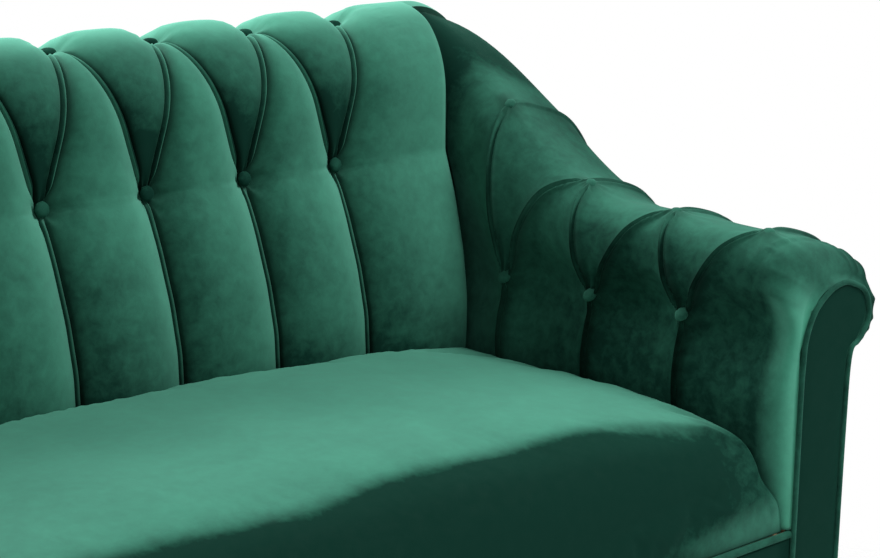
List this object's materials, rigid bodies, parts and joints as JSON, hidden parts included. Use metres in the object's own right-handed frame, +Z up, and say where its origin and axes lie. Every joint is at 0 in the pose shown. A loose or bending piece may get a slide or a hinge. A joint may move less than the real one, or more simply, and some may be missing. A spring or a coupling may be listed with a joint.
{
  "type": "chesterfield sofa",
  "caption": "Deep-buttoned three-seat sofa with rolled back and arms, tight bench seat, scroll facings, timber frame and short legs.",
  "frame": {"origin": "on the floor, in the middle of the sofa's footprint", "axes": "+X along the sofa to its right as seen by someone standing in front, +Y from front to back, +Z up"},
  "size_m": [2.123, 0.8256, 0.9069],
  "materials": {
    "velvet": "emerald green pile velvet with a strong sheen",
    "velvet_welt": "green velvet piping",
    "velvet_buttons": "green velvet covered buttons",
    "frame_timber": "planed hardwood, unfinished",
    "foam": "open-cell upholstery foam",
    "hessian": "coarse jute hessian",
    "webbing": "woven jute webbing",
    "dust_cloth": "thin black bottom cloth",
    "leg_wood": "dark stained, satin",
    "leg_steel": "pressed steel plate",
    "glide_nylon": "moulded nylon"
  },
  "bodies": {
    "root": {"back_pad": "velvet", "seat_pad": "velvet", "front_apron": "velvet", "outside_back_panel": "velvet", "left_arm_pad": "velvet", "right_arm_pad": "velvet", "left_arm_facing": "velvet", "right_arm_facing": "velvet", "left_outside_arm_panel": "velvet", "right_outside_arm_panel": "velvet", "front_welt": "velvet_welt", "left_facing_welt": "velvet_welt", "right_facing_welt": "velvet_welt", "back_lower_buttons": "velvet_buttons", "back_upper_buttons": "velvet_buttons", "arm_lower_buttons": "velvet_buttons", "arm_upper_buttons": "velvet_buttons", "front_rail": "frame_timber", "rear_rail": "frame_timber", "seat_stretchers": "frame_timber", "corner_blocks": "frame_timber", "back_crest_rail": "frame_timber", "back_tack_rail": "frame_timber", "back_uprights": "frame_timber", "left_side_rail": "frame_timber", "right_side_rail": "frame_timber", "left_arm_front_board": "frame_timber", "right_arm_front_board": "frame_timber", "left_back_post": "frame_timber", "right_back_post": "frame_timber", "left_arm_top_rail": "frame_timber", "right_arm_top_rail": "frame_timber", "left_arm_tack_rail": "frame_timber", "right_arm_tack_rail": "frame_timber", "left_arm_stiles": "frame_timber", "right_arm_stiles": "frame_timber", "seat_foam": "foam", "back_hessian": "hessian", "seat_hessian": "hessian", "left_arm_hessian": "hessian", "right_arm_hessian": "hessian", "back_webbing": "webbing", "seat_webbing": "webbing", "seat_cross_webbing": "webbing", "left_arm_webbing": "webbing", "right_arm_webbing": "webbing", "dust_cover": "dust_cloth", "front_legs": "leg_wood", "rear_legs": "leg_wood", "centre_leg": "leg_wood", "leg_plates": "leg_steel", "leg_glides": "glide_nylon"}
  },
  "joints": []
}
